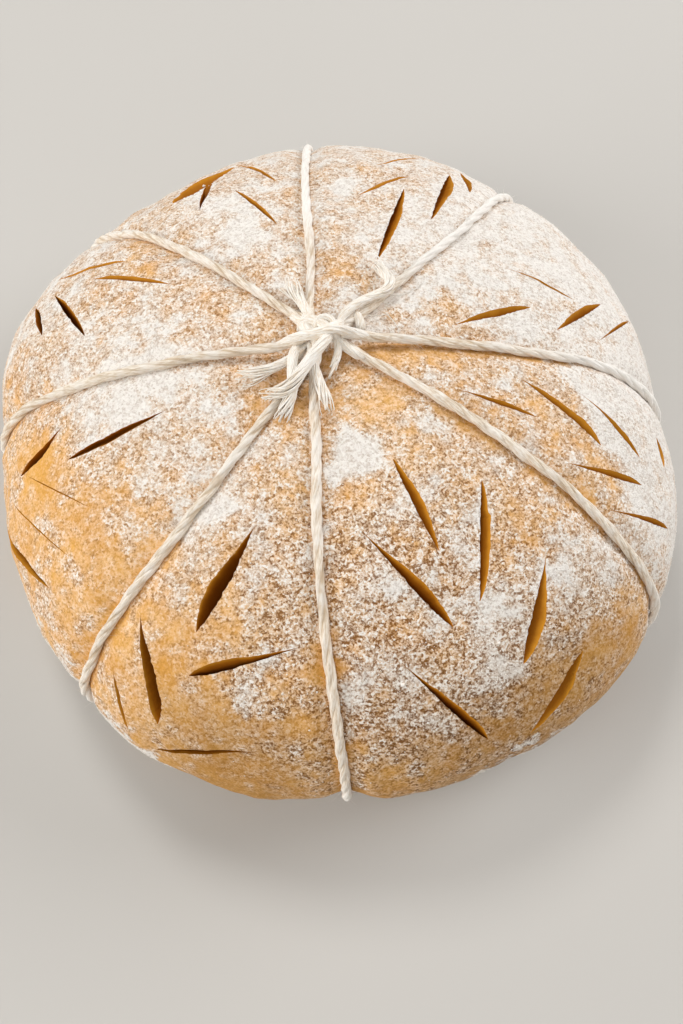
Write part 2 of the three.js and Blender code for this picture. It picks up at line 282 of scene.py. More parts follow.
def profile(way):
    """Share of the half-width, and level, along a meridian: 0 crown, 1 widest, 2 foot, 3 base's middle."""
    out = np.sin(np.clip(way, 0, 1) * np.pi / 2)
    level = WIDEST + (HEIGHT - WIDEST) * np.sqrt(np.maximum(0, 1 - out**CROWN_POWER))
    turn = np.clip(way - 1, 0, 1) * np.pi / 2
    out = np.where(way > 1, FOOT_SHARE + (1 - FOOT_SHARE) * np.cos(turn), out)
    level = np.where(way > 1, WIDEST * (1 - np.sin(turn)), level)
    out = np.where(way > 2, FOOT_SHARE * (3 - way), out)
    return out, np.where(way > 2, 0, level)


def reach_at(bearing):
    turn = np.radians(bearing)
    reach = np.full(np.shape(turn), RADIUS)
    for waves, cosine, sine in PLAN_WAVES:
        reach = reach + cosine * np.cos(waves * turn) + sine * np.sin(waves * turn)
    return reach


def bow_at(bearing, out):
    """How far the dough is drawn sideways there, by the bows of the arms beside it."""
    index, share, _ = lobe_at(bearing)
    return mix(BOWS[index], BOWS[(index + 1) % COUNT], share) * np.sin(np.pi * out)


def matched(bearing, way):
    return np.broadcast_arrays(np.asarray(bearing, float), np.asarray(way, float))


def plain_point(bearing, way):
    """Point of the plain form, before the string draws it in."""
    bearing, way = matched(bearing, way)
    out, level = profile(way)
    turn = np.radians(bearing)
    bow = bow_at(bearing, out)
    reach = reach_at(bearing) * out
    return np.stack([
        MIDDLE[0] + CROWN[0] * (1 - out) + reach * np.cos(turn) - bow * np.sin(turn),
        MIDDLE[1] + CROWN[1] * (1 - out) + reach * np.sin(turn) + bow * np.cos(turn),
        level,
    ], axis=-1)


def outward(bearing, way):
    """Direction out of the dough."""
    bearing, way = matched(bearing, way)
    here = plain_point(bearing, way)
    along = plain_point(bearing, way + 0.001) - here
    around = plain_point(bearing + 0.1, way) - here
    out = unit(np.cross(along, around))
    out[way < 0.01] = (0, 0, 1)
    out[way > 1.99] = (0, 0, -1)
    return out


def drawn_in(bearing, way):
    """How far the string draws the dough in."""
    out, _ = profile(way)
    away = np.radians(lobe_at(bearing)[2]) * RADIUS * out
    to_rim = np.minimum(1, out * out)
    furrow = mix(FURROW_DEPTH_CROWN, FURROW_DEPTH_RIM, to_rim) * bump(away / FURROW_WIDTH)
    furrow = furrow + BED_DEPTH * bump(away / BED_WIDTH) * smoothstep(out, 0.04, 0.12)
    valley = VALLEY_DEPTH * to_rim * bump(away / VALLEY_WIDTH)
    groove = GROOVE_DEPTH * bump(away / GROOVE_WIDTH)
    dimple = np.where(way > 2, DIMPLE_DEPTH * bump(out * RADIUS / DIMPLE_RADIUS), 0)
    return mix(furrow + valley, groove + dimple, smoothstep(way, 1, 2))


def unevenness(bearing, way):
    """Hand-shaped dough: slow swells and small dents, none under the loaf."""
    here = plain_point(bearing, way)
    swell = 0.35 * ripple(here, 40, 11) + 0.15 * ripple(here, 14, 12) + 0.05 * ripple(here, 5, 13)
    return swell * (1 - smoothstep(way, 1.5, 1.95))


def dough_point(bearing, way, height=0):
    """Point on the dough, or at a height off it."""
    bearing, way = matched(bearing, way)
    height = height + unevenness(bearing, way) - drawn_in(bearing, way)
    return plain_point(bearing, way) + outward(bearing, way) * np.asarray(height)[..., None]


def unit(vectors):
    return vectors / np.maximum(norm(vectors, axis=-1, keepdims=True), 1e-12)


def halves(quads):
    """Two triangles for each quad."""
    return np.concatenate([quads[:, [0, 1, 2]], quads[:, [0, 2, 3]]])


def sleeve(count, around):
    """Triangles of a closed tube of rings: its wall, then a fan over its first ring and its last."""
    grid = np.arange(count * around).reshape(count, around)
    following = np.roll(grid, -1, axis=1)
    quads = np.stack([grid[:-1], following[:-1], following[1:], grid[1:]], axis=-1)
    parts = [halves(quads.reshape(-1, 4))]
    for ring, order in ((grid[0], -1), (grid[-1], 1)):
        fan = np.stack([np.full(around - 2, ring[0]), ring[1:-1], ring[2:]], axis=1)
        parts.append(fan[:, ::order])
    return np.concatenate(parts)


def grid_places(along, around):
    """One place for each pair of a value along and a value around."""
    return np.stack(np.broadcast_arrays(along[:, None], around[None]), axis=-1).reshape(-1, 2)


def joined(rows):
    """Rows of arrays, joined column by column."""
    return [np.concatenate(column) for column in zip(*rows)]


def join_meshes(meshes):
    """One list of points, faces and each face corner's values, from several."""
    first, parts = 0, []
    for points, faces, *values in meshes:
        parts.append((points, faces + first, *values))
        first += len(points)
    return joined(parts)


def new_piece(name, points, faces, materials, uv_maps=None, material_index=0):
    """Mesh object from points in millimetres. uv_maps gives a value for each face corner."""
    mesh = bpy.data.meshes.new(name)
    mesh.from_pydata((np.asarray(points) * MM).tolist(), [], np.asarray(faces).tolist())
    for uv_name, values in (uv_maps or {}).items():
        layer = mesh.uv_layers.new(name=uv_name)
        layer.data.foreach_set("uv", np.asarray(values, np.float32).ravel())
    for material in materials:
        mesh.materials.append(material)
    mesh.polygons.foreach_set("material_index", np.full(len(faces), material_index, np.int32))
    mesh.shade_smooth()
    mesh.update()
    piece = bpy.data.objects.new(name, mesh)
    scene.collection.objects.link(piece)
    return piece


# Materials: two colours are the ends of a range
MOIST_DOUGH = (0.7, 0.338, 0.062, 1), (0.77, 0.402, 0.092, 1)
DRY_DOUGH = (0.77, 0.395, 0.105, 1), (0.83, 0.455, 0.14, 1)
# Colours of painted shade, low on the front and beside the string
DOUGH_IN_PAINTED_SHADE = (0.28, 0.14, 0.04, 1)
FLOUR = (0.9, 0.86, 0.81, 1)
FLOUR_IN_PAINTED_SHADE = (0.62, 0.5, 0.38, 1)
FLOUR_SHADE = (1.06, 1.06, 1.06, 1), (0.12, 0.04, 0, 1)  # on a grain, and in the gaps between grains
LOOSE_FLOUR = (0.84, 0.77, 0.68, 1), (0.93, 0.9, 0.86, 1)
STRING_COTTON = (0.69, 0.55, 0.4, 1), (0.92, 0.84, 0.73, 1)
# Lighter than the string's cotton, painted light that offsets the shade between the knot's thin yarns
LIGHTENED_KNOT_COTTON = (0.83, 0.715, 0.575, 1), (0.985, 0.955, 0.9, 1)
# Painted shade in the hollows between plies and yarns
COTTON_HOLLOW_SHADE = (0.64, 0.5, 0.35, 1)
COTTON_DUST = (0.97, 0.945, 0.905, 1)
FLOOR_TONES = (0.54, 0.52, 0.49, 1), (0.58, 0.565, 0.54, 1)
CUT_WALL_SHADED = [  # from the lip, in the inner dough's own colour, to the bottom, darkened by painted shade
    (0, (0.62, 0.27, 0.022, 1)),
    (0.12, (0.41, 0.145, 0.008, 1)),
    (0.35, (0.24, 0.073, 0.004, 1)),
    (0.6, (0.16, 0.044, 0.004, 1)),
    (1, (0.05, 0.012, 0.003, 1)),
]


class Shader:
    """Node material: add() makes a node with its settings and inputs, and joins given sockets."""

    def __init__(self, name):
        self.material = bpy.data.materials.new(name)
        self.material.use_nodes = True
        self.tree = self.material.node_tree
        self.tree.nodes.clear()
        self.surface = self.add("BsdfPrincipled")
        self.add("OutputMaterial", Surface=self.surface.outputs[0])

    def add(self, kind, settings=None, **inputs):
        node = self.tree.nodes.new("ShaderNode" + kind)
        for key, value in (settings or {}).items():
            setattr(node, key, value)
        for key, value in inputs.items():
            self.put(node, key, value)
        return node

    def put(self, node, key, value):
        socket = node.inputs[int(key[1:])] if key[0] == "_" else node.inputs[key.replace("_", " ")]
        if isinstance(value, bpy.types.NodeSocket):
            self.tree.links.new(value, socket)
        else:
            socket.default_value = value

    def place(self):
        return self.add("TexCoord").outputs["Object"]

    def attribute(self, name):
        return self.add("Attribute", {"attribute_name": name}).outputs["Fac"]

    def uv(self, name):
        return self.add("UVMap", {"uv_map": name}).outputs[0]

    def math(self, operation, a, b, clamp=False):
        return self.add("Math", {"operation": operation, "use_clamp": clamp}, _0=a, _1=b).outputs[0]

    def plus(self, a, b, clamp=False):
        return self.math("ADD", a, b, clamp)

    def minus(self, a, b):
        return self.math("SUBTRACT", a, b)

    def times(self, a, b):
        return self.math("MULTIPLY", a, b)

    def vector(self, operation, a, b, c=(0, 0, 0)):
        node = self.add("VectorMath", {"operation": operation}, _0=a, _1=b, _2=c)
        return node.outputs["Value" if operation == "DOT_PRODUCT" else "Vector"]

    def axis(self, vector, number):
        return self.add("SeparateXYZ", Vector=vector).outputs[number]

    def remap(self, value, low, high, to_low=0, to_high=1, kind="SMOOTHSTEP"):
        return self.add(
            "MapRange", {"interpolation_type": kind},
            Value=value, From_Min=low, From_Max=high, To_Min=to_low, To_Max=to_high,
        ).outputs[0]

    def blend(self, share, a, b):
        return self.add("Mix", {"data_type": "RGBA"}, _0=share, _6=a, _7=b).outputs[2]

    def noise(self, vector, scale, detail=2, roughness=0.5, output="Fac"):
        return self.add(
            "TexNoise", Vector=vector, Scale=scale, Detail=detail, Roughness=roughness,
        ).outputs[output]

    def relief(self, height, strength, distance):
        return self.add("Bump", Strength=strength, Distance=distance, Height=height).outputs[0]

    def finish(self, colour, roughness, gloss, normal=None):
        self.put(self.surface, "Base Color", colour)
        self.put(self.surface, "Roughness", roughness)
        self.put(self.surface, "Specular IOR Level", gloss)
        if normal is not None:
            self.put(self.surface, "Normal", normal)
        return self.material


def dough_material():
    s = Shader("floured_dough")
    place = s.place()
    cover, coarse, brown = (s.attribute(name) for name in ("flour", "coarse", "brown"))
    patch = s.remap(s.noise(place, 110, 3, 0.55), 0.46, 0.68, -0.2, 1.5)
    drift = s.times(s.minus(s.noise(place, 280, 4, 0.6), 0.5), 3.4)
    drift = s.times(s.plus(drift, patch), s.times(cover, s.minus(1, cover)))
    cover = s.plus(cover, drift, clamp=True)
    bare = s.minus(1, cover)
    # Grains of flour and clumps of them
    stray = s.noise(place, 1300, 1, output="Color")
    stray = s.vector("MULTIPLY_ADD", stray, (0.0004, 0.0004, 0.0004), place)
    cells = s.add("TexVoronoi", Vector=stray, Scale=1450)
    cell = s.add("SeparateColor", Color=cells.outputs["Color"]).outputs[0]
    fine = s.remap(s.noise(place, 1800, 2, 0.6), 0.3, 0.7)
    clump = s.remap(s.noise(place, 520, 2, 0.55), 0.3, 0.7)
    grain = s.plus(s.times(cell, 0.46), s.times(fine, 0.38))
    grain = s.remap(s.plus(grain, s.times(clump, 0.16)), 0.16, 0.84, kind="LINEAR")
    # How white they are, with flecks where little flour lies
    reach = s.times(s.times(cover, bare), s.plus(coarse, 1.9))
    reach = s.plus(reach, s.times(cover, 0.12))
    white = s.plus(cover, s.times(s.minus(grain, 0.5), reach))
    fleck = s.times(s.remap(grain, 0.56, 1), s.remap(cover, 0.14, 0.36, 0.1, 0.5))
    white = s.plus(white, s.times(fleck, bare), clamp=True)
    # Painted shade in the gaps between grains, less where they are buried, deeper on the coarse front where
    # light grazes
    buried = s.times(s.math("POWER", cover, 3), 0.36)
    gap = s.minus(s.remap(cover, 0, 0.35, 0.2, 0.7), buried)
    # Deeper painted shade on the coarse front, where light grazes
    grazing_shade = s.times(coarse, s.plus(s.times(bare, 0.75), 0.4))
    gap = s.times(gap, s.plus(grazing_shade, 1))
    gap = s.times(gap, s.math("POWER", s.minus(1, grain), 2.1))
    shade = s.blend(s.math("MINIMUM", gap, 0.79), *FLOUR_SHADE)
    warm = s.remap(s.noise(place, 90, 3, 0.6), 0.35, 0.65)
    dough = s.blend(s.remap(cover, 0.04, 0.22), s.blend(warm, *MOIST_DOUGH), s.blend(warm, *DRY_DOUGH))
    # Painted shade low on the front and in the strips beside the string darkens dough and flour
    dough = s.blend(s.times(brown, 0.55), dough, DOUGH_IN_PAINTED_SHADE)
    flour = s.blend(s.times(brown, 0.25), FLOUR, FLOUR_IN_PAINTED_SHADE)
    colour = s.vector("MULTIPLY", s.blend(white, dough, flour), shade)
    relief = s.relief(s.times(grain, s.remap(cover, 0, 0.6, 0.25, 1)), 0.9, 0.0003)
    rough = s.remap(white, 0, 1, 0.62, 0.95)
    return s.finish(colour, rough, 0.12, relief)


def cut_material():
    s = Shader("cut_dough")
    place = s.place()
    tone = s.noise(place, 260, 3, 0.55)
    # Painted shade: the wall darkens with depth below the lip
    deep = s.plus(s.axis(s.uv("wall"), 1), s.times(s.minus(tone, 0.5), 0.16))
    ramp = s.add("ValToRGB", Fac=deep)
    elements = ramp.color_ramp.elements
    while len(elements) < len(CUT_WALL_SHADED):
        elements.new(0.5)
    for element, (position, colour) in zip(elements, CUT_WALL_SHADED):
        element.position = position
        element.color = colour
    relief = s.relief(s.noise(place, 900, 3, 0.6), 0.4, 0.0003)
    return s.finish(ramp.outputs[0], 0.65, 0.08, relief)


def grain_material():
    s = Shader("flour_grain")
    colour = s.blend(s.remap(s.noise(s.place(), 700), 0.35, 0.65), *LOOSE_FLOUR)
    return s.finish(colour, 0.95, 0.1)


def cotton_material(name, dark, light):
    """Cotton with fibres along its lay, painted shade in its hollows, dusted with flour low down and at the
    back.
    """
    s = Shader(name)
    place = s.place()
    lay = s.vector("MULTIPLY", s.uv("lay"), (0.03, 1, 1))
    fibres = s.remap(s.noise(lay, 13, 3, 0.6), 0.32, 0.62)
    ridge = s.remap(s.axis(s.uv("hollow"), 0), 0.78, 0.96)
    dust = s.remap(s.noise(place, 120, 3, 0.6), 0.45, 0.65, 0, 0.55)
    dust = s.math("MAXIMUM", dust, s.remap(s.axis(place, 2), 0.02, 0.042, 0.8, 0))
    to_back = s.vector("DOT_PRODUCT", place, (0.6, 1, 0))
    dust = s.math("MAXIMUM", dust, s.remap(to_back, 0.022, 0.045, 0, 0.85))
    # Painted shade in the hollows
    yarn = s.blend(ridge, COTTON_HOLLOW_SHADE, s.blend(fibres, dark, light))
    colour = s.blend(dust, yarn, COTTON_DUST)
    relief = s.relief(fibres, 0.6, 0.0002)
    return s.finish(colour, 0.95, 0.1, relief)


def floor_material():
    s = Shader("pale_floor")
    tone = s.blend(s.noise(s.place(), 3), *FLOOR_TONES)
    return s.finish(tone, 0.8, 0.2)


# Dough


def stitch(first, n, second, m):
    """Triangles between two closed rings of n and m points, whose numbers start at first and second."""
    share = np.concatenate([np.arange(1, n + 1) / n, np.arange(1, m + 1) / m])
    on_first = np.concatenate([np.ones(n, int), np.zeros(m, int)])
    on_first = on_first[np.argsort(share, kind="stable")]
    i = np.cumsum(on_first) - on_first
    j = np.cumsum(1 - on_first) - (1 - on_first)
    a = first + i % n
    b = second + j % m
    c = np.where(on_first == 1, first + (i + 1) % n, second + (j + 1) % m)
    return np.stack([a, b, c], axis=1)[(a != c) & (b != c)]


def ring_ways():
    """Ways of evenly spaced rings, the run down to the seam, and fine ways with their runs."""
    fine = np.linspace(0, 3, 6001)
    out, level = profile(fine)
    run = np.concatenate([[0], np.cumsum(np.hypot(np.diff(out * RADIUS), np.diff(level)))])
    foot = np.interp(2, fine, run)
    top = np.linspace(0, foot, int(foot / STEP) + 1)
    base = np.linspace(foot, run[-1], int((run[-1] - foot) / BASE_STEP) + 1)[1:]
    return np.interp(np.concatenate([top, base]), run, fine), np.interp(SEAM_WAY, fine, run), fine, run


def dough_mesh():
    """Points, triangles and texture places of the dough before it is scored."""
    ways, seam_run, fine, run = ring_ways()
    outs, _ = profile(ways)
    steps = np.where(ways > 2.02, BASE_STEP, STEP)
    counts = np.maximum(1, np.round(2 * np.pi * outs * RADIUS / steps)).astype(int)
    starts = np.concatenate([[0], np.cumsum(counts)])
    bearings = np.concatenate([360 * np.arange(n) / n for n in counts])
    all_ways = np.repeat(ways, counts)
    triangles = [stitch(starts[k], counts[k], starts[k + 1], counts[k + 1]) for k in range(len(ways) - 1)]
    below = np.concatenate([np.full(len(t), ways[k] > SEAM_WAY) for k, t in enumerate(triangles)])
    triangles = np.concatenate(triangles)
    points = dough_point(bearings, all_ways)
    turn = np.radians(bearings)
    ring = np.stack([np.cos(turn), np.sin(turn)], axis=1)
    along = np.interp(all_ways, fine, run)
    upper = 0.5 + DISC_RADIUS * (along / seam_run)[:, None] * ring
    left = (run[-1] - along) / (run[-1] - seam_run)
    lower = BASE_DISC_MIDDLE + BASE_DISC_RADIUS * left[:, None] * ring * (1, -1)
    places = np.where(below[:, None, None], lower[triangles], upper[triangles])
    return points, triangles, places.reshape(-1, 2)


def cut_line(cut, share):
    """Bearings and ways along a cut, straight across the dough."""
    first, last = np.radians(cut.bearing), np.radians(cut.last_bearing)
    x = mix(cut.way * math.cos(first), cut.last_way * math.cos(last), share)
    y = mix(cut.way * math.sin(first), cut.last_way * math.sin(last), share)
    return np.degrees(np.arctan2(y, x)), np.hypot(x, y)


def cut_span(cut):
    """From a cut's first end to its last."""
    return plain_point(cut.last_bearing, cut.last_way) - plain_point(cut.bearing, cut.way)


def cut_strip(number, share, around):
    """Places of a cut's wall on the texture."""
    corner, row = divmod(number, STRIPS_IN_CORNER)
    left, low = STRIP_CORNERS[corner]
    across = np.arange(around) / (around - 1)
    return grid_places(left + STRIP_LENGTH * share, low + STRIP_WIDTH * (row + 0.1 + 0.8 * across))


def cut_wedge(number, cut):
    """Closed wedge that opens one cut, with a place on the texture and a depth for each face corner, which
    sets the painted shade on its wall.
    """
    gape, depth, flap, fullest, flap_share = cut[4:]
    draw = np.random.default_rng(100 + number)
    length = norm(cut_span(cut))
    count = max(18, int(length / 0.55))
    share = np.linspace(0, 1, count)
    share = share - 0.6 * np.sin(2 * np.pi * share) / (2 * np.pi)
    bearings, ways = cut_line(cut, share)
    middle = dough_point(bearings, ways)
    up = outward(bearings, ways)
    run = unit(np.gradient(middle, axis=0))
    to_flap = flap * unit(np.cross(up, run))
    full = share ** (math.log(0.5) / math.log(fullest))
    full = np.maximum(0.012, 1 - (2 * full - 1) ** 2)
    wide = gape * full**0.85
    deep = depth * full**0.6
    torn = np.minimum(2.5, wide / WIDE_CUT)
    jag = torn * (draw.normal(0, 0.07, count) + 0.04 * waver(share * length, draw, 0.2, 1))
    sway = 0.08 * gape * np.sin(np.pi * share * draw.uniform(1.5, 2.5) + draw.uniform(0, 6))
    flap_lip = flap_share * wide + jag
    nick = draw.uniform(0.12, 0.3)
    held = mix(0.78, 1, smoothstep(share, nick - 0.02, nick + 0.02))
    frayed = torn * (draw.normal(0, 0.05, count) + 0.03 * waver(share * length, draw, 0.2, 1))
    ramp_lip = (sway * full - (1 - flap_share) * wide) * held + frayed
    bottom = flap_lip + CUT_LEAN * deep
    steep = np.interp(depth, (6, 12), (1, 0.55))
    section = [(flap_lip - CUT_LEAN * CUT_CLEAR, np.full(count, CUT_CLEAR)), (flap_lip, 0 * deep)]
    section += [(mix(flap_lip, bottom, t), -t * deep) for t in (0.35, 0.7, 1)]
    for t in (0.82, 0.62, 0.42, 0.24, 0.1):
        section.append((mix(ramp_lip, bottom, t), -deep * t**steep))
    section += [(ramp_lip, 0 * deep), (ramp_lip - 1, np.full(count, CUT_CLEAR))]
    points = np.stack([middle + to_flap * v[:, None] + up * h[:, None] for v, h in section], axis=1)
    points = points.reshape(-1, 3)
    around = len(section)
    faces = sleeve(count, around)
    a, b, c = points[faces].transpose(1, 0, 2)
    if np.einsum("ij,ij->i", a, np.cross(b, c)).sum() < 0:  # inside out
        faces = faces[:, ::-1]
    place = cut_strip(number, share, around)
    # Depth below the lip, for the painted shade on the wall
    depths = np.stack([np.maximum(0, -h) for _, h in section], axis=1).ravel()
    wall = np.stack([np.repeat(share, around), depths / WALL_SHADE_DEPTH], axis=1)
    return points, faces, place[faces].reshape(-1, 2), wall[faces].reshape(-1, 2)


def where_on_dough(points):
    """Bearing, way and share of the half-width of points on the dough."""
    out = np.ones(len(points))
    aside = np.zeros((len(points), 2))
    for _ in range(4):
        away = points[:, :2] - MIDDLE - CROWN * (1 - out[:, None]) - aside
        bearing = np.degrees(np.arctan2(away[:, 1], away[:, 0])) % 360
        out = np.clip(np.hypot(*away.T) / reach_at(bearing), 0, 1)
        turn = np.radians(bearing)
        aside = np.stack([-np.sin(turn), np.cos(turn)], axis=1) * bow_at(bearing, out)[:, None]
    way = np.arcsin(out) * 2 / np.pi
    low = points[:, 2] < WIDEST
    way[low] = 1 + np.arcsin(np.clip(1 - points[low, 2] / WIDEST, 0, 1)) * 2 / np.pi
    return bearing, way, out


def bare_and_shadow_strip(strip, points, bearing, way, out):
    """Flour lost at points from one strip beside the string, which also paints the string's shadow there."""
    arm, start, end, width, amount = strip
    right = -np.radians(turned_from(BEARINGS[arm], bearing)) * RADIUS * out
    along = smoothstep(way, start - 0.08, start) * (1 - smoothstep(way, end, end + 0.12))
    broken = np.clip(1 + 0.35 * ripple(points, 6, 26) + 0.35 * ripple(points, 2.5, 27), 0, 1.3)
    wide = width * mix(1, 0.6, smoothstep(way, start, end))
    return amount * along * broken * bump((right - 0.5 * wide) / wide)


def flour_cover(points):
    """How much flour lies at points on the dough, how coarse it is, with deeper painted shade there, and how
    much painted shade darkens the dough, from 0 to 1.
    """
    bearing, way, out = where_on_dough(points)
    at, *columns = FLOUR_FALL.T
    row = [np.interp(bearing, at, column / 100, period=360) for column in columns]
    inside, fall_start, fall_end, rim = row
    fallen = smoothstep(way, fall_start, fall_end)
    cover = mix(inside, rim, fallen)
    stray = np.maximum(0.6, 1 + 0.28 * ripple(points, 11, 21) + 0.14 * ripple(points, 5, 22))
    for patch_bearing, patch_way, radius, amount in FLOUR_PATCHES:
        far = norm(points - plain_point(patch_bearing, patch_way / 100), axis=1) * stray
        cover += amount / 100 * np.exp(-((far / radius) ** 3))
    for cut in CUTS:
        line = dough_point(*cut_line(cut, np.linspace(0.08, 0.92, 20)))
        near = np.nonzero(norm(points - line[10], axis=1) < LIP_REACH)[0]
        far = norm(points[near, None] - line[None], axis=2).min(1)
        heaped = LIP_FLOUR * min(1, cut.gape / WIDE_CUT) * np.clip(2 * cover[near], 0.2, 1)
        cover[near] += heaped * np.exp(-((far / LIP_WIDTH) ** 2))
    start = np.interp(bearing, *FLOUR_SKIRT.T)
    ragged = way + 0.035 * ripple(points, 9, 28) + 0.02 * ripple(points, 3, 29)
    cover += smoothstep(ragged, start, start + 0.06) * (1 - smoothstep(ragged, 1.2, 1.45)) * (start < 1.3)
    beside = np.radians(lobe_at(bearing)[2]) * RADIUS * out
    cover -= RUBBED_AND_SHADED * bump(beside / RUBBED_AND_SHADED_WIDTH) * (way < 1)
    # Strips of bare dough that also carry painted shadow of the string
    rubbed_and_shadowed = np.zeros(len(points))
    for strip in BARE_AND_SHADOW_STRIPS:
        lost = bare_and_shadow_strip(strip, points, bearing, way, out)
        cover -= lost
        rubbed_and_shadowed = np.maximum(rubbed_and_shadowed, lost)
    patchy = 0.04 * ripple(points, 24, 23) + 0.05 * ripple(points, 9, 24) + 0.05 * ripple(points, 4, 25)
    cover += patchy * mix(1, 0.5, fallen * (rim < 0.3))
    front, half = COARSE_SHADED_FRONT
    coarse = bump(turned_from(front, bearing) / half) * smoothstep(way, 0.18, 0.4)
    least = mix(0.2, 0.01, np.maximum(smoothstep(way, 0.42, 0.6), 0.6 * smoothstep(rubbed_and_shadowed, 0.2, 0.5)))
    # Painted shade: the strips beside the string, then low on the front
    brown = np.minimum(1, 1.3 * rubbed_and_shadowed)
    for middle, half, start, amount in PAINTED_SHADE_LOW:
        low = bump(turned_from(middle, bearing) / half) * smoothstep(way, start, start + 0.16)
        brown = np.maximum(brown, amount * low)
    return np.clip(cover, least, 0.98), coarse, brown


def scored(piece, cutter):
    """Takes the cutter out of the piece and leaves a plain mesh."""
    cut = piece.modifiers.new("cuts", "BOOLEAN")
    cut.operation = "DIFFERENCE"
    cut.solver = "MANIFOLD"
    cut.object = cutter
    whole = piece.evaluated_get(bpy.context.evaluated_depsgraph_get())
    mesh = bpy.data.meshes.new_from_object(whole)
    piece.modifiers.clear()
    old = piece.data
    piece.data = mesh
    bpy.data.meshes.remove(old)
    bpy.data.objects.remove(cutter)


def sharpen(mesh):
    """Keeps a sharp lip where the crust meets the wall of a cut."""
    mesh.shade_smooth()
    shape = bmesh.new()
    shape.from_mesh(mesh)
    for edge in shape.edges:
        edge.smooth = len({face.material_index for face in edge.link_faces}) == 1
    shape.to_mesh(mesh)
    shape.free()


crust = dough_material()
wall = cut_material()
cotton = cotton_material("cotton_string", *STRING_COTTON)
lightened_knot_cotton = cotton_material("lightened_knot_cotton", *LIGHTENED_KNOT_COTTON)

points, triangles, places = dough_mesh()
uv_maps = {"OFBake": places, "wall": np.zeros_like(places)}
loaf = new_piece("loaf_dough", points, triangles, (crust, wall), uv_maps)
wedges = [cut_wedge(k, cut) for k, cut in enumerate(CUTS)]
for some in (wedges[:-LATER_CUTS], wedges[-LATER_CUTS:]):
    points, faces, places, depths = join_meshes(some)
    uv_maps = {"OFBake": places, "wall": depths}
    scored(loaf, new_piece("cutter", points, faces, (crust, wall), uv_maps, 1))
sharpen(loaf.data)
points = np.array([vertex.co for vertex in loaf.data.vertices]) / MM
for name, values in zip(("flour", "coarse", "brown"), flour_cover(points)):
    attribute = loaf.data.attributes.new(name, "FLOAT", "POINT")
    attribute.data.foreach_set("value", values.astype(np.float32))
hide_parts("loaf")
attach(loaf, "root")

# Loose grains of flour


def in_a_cut(points):
    """Which points are over the opening of a cut."""
    inside = np.zeros(len(points), bool)
    for cut in CUTS:
        line = dough_point(*cut_line(cut, np.linspace(0, 1, 30)))
        inside |= norm(points[:, None] - line[None], axis=2).min(1) < 0.75 * cut.gape + 0.5
    return inside


def grain_places():
    """Places of grains, more where more flour lies, with ways out of the dough, radii and the draw."""
    draw = np.random.default_rng(31)
    bearing = draw.uniform(0, 360, 6 * GRAINS)
    way = np.arccos(draw.uniform(0, 1, 6 * GRAINS)) * 2 / np.pi
    bearing, way = bearing[way > 0.05], way[way > 0.05]
    at = dough_point(bearing, way)
    cover, coarse, _ = flour_cover(at)
    keep = draw.uniform(0, 1, len(at)) < cover**2 * mix(0.35, 1, coarse)
    keep[np.nonzero(keep)[0][GRAINS:]] = False
    keep[keep] = ~in_a_cut(at[keep])
    radius = GRAIN_RADIUS * np.exp(draw.normal(0, GRAIN_SPREAD, keep.sum()))
    parts = [(at[keep], outward(bearing, way)[keep], radius)]
    for cut in (cut for cut in CUTS if cut.gape > 2):
        line = cut_line(cut, draw.uniform(0.2, 0.8, LIP_GRAINS))
        up = outward(*line)
        beside = cut.flap_share * cut.gape + draw.uniform(0.3, 0.9, LIP_GRAINS)
        to_flap = cut.flap * unit(np.cross(up, unit(cut_span(cut))))
        at = dough_point(*line) + to_flap * beside[:, None]
        floured = flour_cover(at)[0] > 0.5
        size = LIP_GRAIN_SIZE * GRAIN_RADIUS * np.exp(draw.normal(0, GRAIN_SPREAD, LIP_GRAINS))
        parts.append((at[floured], up[floured], size[floured]))
    return *joined(parts), draw


def grains_piece(material):
    """Lumps of eight faces, half sunk in the dough, each with its own patch of the texture."""
    places, ups, radii, draw = grain_places()
    count = len(places)
    first = unit(np.cross(ups, draw.normal(size=(count, 3))))
    second = np.cross(ups, first)
    stretch = draw.uniform(0.75, 1.3, (count, 6))
    corners = np.stack([first, second, -first, -second, 0.8 * ups, -0.8 * ups], axis=1)
    corners = places[:, None] + corners * (stretch * radii[:, None])[..., None]
    upper = [(k, (k + 1) % 4, 4) for k in range(4)]
    lower = [((k + 1) % 4, k, 5) for k in range(4)]
    faces = (np.arange(count)[:, None, None] * 6 + np.array(upper + lower)).reshape(-1, 3)
    side = math.ceil(math.sqrt(count))
    cell = np.stack(divmod(np.arange(count), side), axis=1)[:, None, None]
    inside = np.array([(0.3, 0.3), (0.7, 0.3), (0.5, 0.7)])
    place = np.broadcast_to((cell + inside) / side, (count, 8, 3, 2))
    uv_maps = {"OFBake": place.reshape(-1, 2)}
    return new_piece("flour_grains", corners.reshape(-1, 3), faces, (material,), uv_maps)


grains = grains_piece(grain_material())
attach(grains, "root")

# String
PITCH = 21.0
PLIES = 3
PLY_SIDES = 13
PLY_RADIUS = 0.70  # as a share of the string's radius, like its distance from the middle
PLY_OFFSET = 0.38
FIBRES = 700  # stray ones on each string
FIBRE_RADIUS = 0.07
UP = (0, 0, 1)


def run_along(path):
    """Length from the start of a path to each of its points."""
    return np.concatenate([[0], np.cumsum(norm(np.diff(path, axis=0), axis=1))])


def resample(path, step):
    """The same path at even steps, with the length run at each point."""
    run = run_along(path)
    even = np.linspace(0, run[-1], max(3, int(run[-1] / step) + 1))
    return np.stack([np.interp(even, run, path[:, k]) for k in range(3)], axis=1), even


def carried_frame(path, normal):
    """Two directions across a path, carried along it without turning about it."""
    tangents = unit(np.gradient(path, axis=0))
    across = np.zeros_like(path)
    current = np.asarray(normal, float)
    for k, tangent in enumerate(tangents):
        current = current - tangent * (current @ tangent)
        current = current / norm(current)
        across[k] = current
    return across, np.cross(tangents, across)


